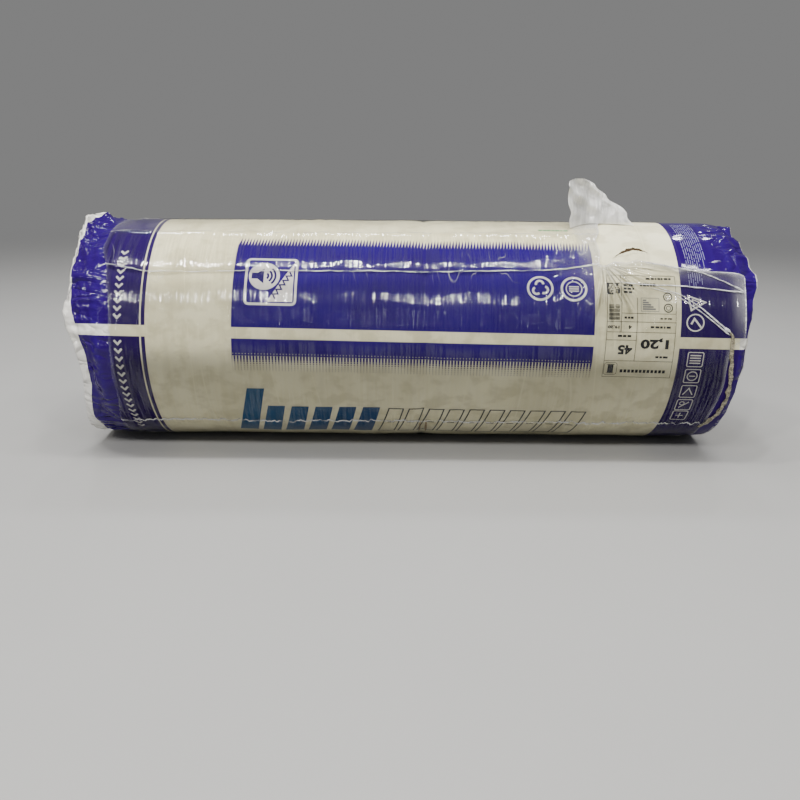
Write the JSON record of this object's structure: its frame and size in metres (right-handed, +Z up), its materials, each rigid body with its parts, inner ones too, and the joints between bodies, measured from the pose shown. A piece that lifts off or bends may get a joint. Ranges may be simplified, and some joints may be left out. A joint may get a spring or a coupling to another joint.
{
  "type": "insulation roll",
  "caption": "Pack of compressed glass-wool insulation lying on its side: wound wool rolls end to end in an open-ended printed film sleeve, under clear stretch film torn at one end.",
  "frame": {"origin": "on the floor, under the middle of the whole pack's box", "axes": "+X along the roll's axis towards the torn end, -Y towards the viewer of the printed panel, +Z up"},
  "size_m": [1.3314, 0.4692, 0.5522],
  "materials": {
    "glass_wool": "fibrous, matt",
    "printed_film": "soft gloss, wrinkled",
    "clear_film": "clear, glossy, wrinkled"
  },
  "bodies": {
    "root": {"wool_roll_left": "glass_wool", "wool_roll_right": "glass_wool", "film_sleeve": "printed_film", "clear_wrap": "clear_film"}
  },
  "joints": []
}
